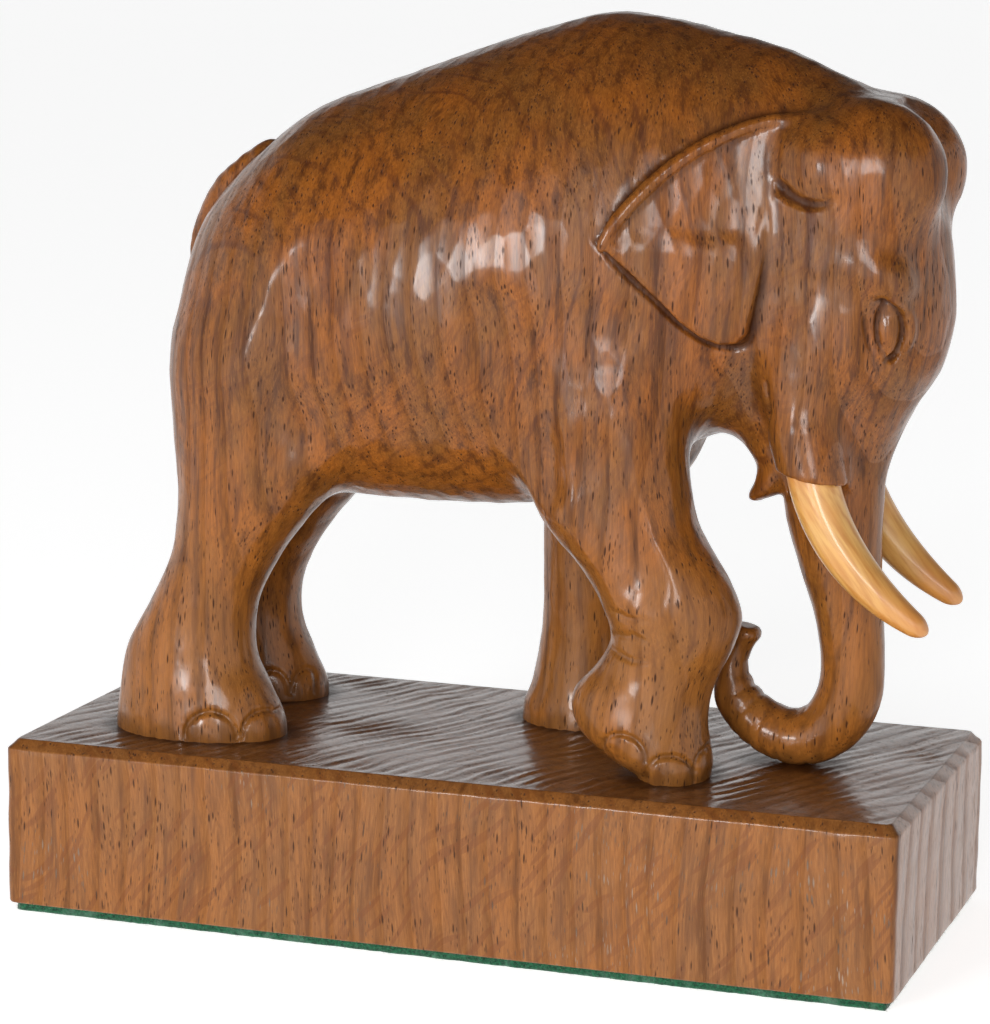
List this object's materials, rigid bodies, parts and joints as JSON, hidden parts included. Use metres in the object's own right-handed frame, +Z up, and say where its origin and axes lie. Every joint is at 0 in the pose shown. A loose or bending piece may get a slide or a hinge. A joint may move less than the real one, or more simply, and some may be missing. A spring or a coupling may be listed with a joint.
{
  "type": "carved wooden elephant",
  "caption": "Walking elephant carved with its plinth from a block of oak, with inset pale wood tusks and baize under the plinth.",
  "frame": {"origin": "centre of the underside of the baize, which is the face the ornament stands on", "axes": "+X towards the elephant's head along the plinth, +Y to the elephant's left, +Z up"},
  "size_m": [0.18, 0.0806, 0.1796],
  "materials": {
    "oak": "waxed and polished mid brown oak, satin to gloss",
    "tusk_wood": "smooth pale yellow wood, waxed",
    "baize": "green wool baize, matt"
  },
  "bodies": {
    "root": {"elephant_and_plinth": "oak", "right_tusk": "tusk_wood", "left_tusk": "tusk_wood", "baize": "baize"}
  },
  "joints": []
}
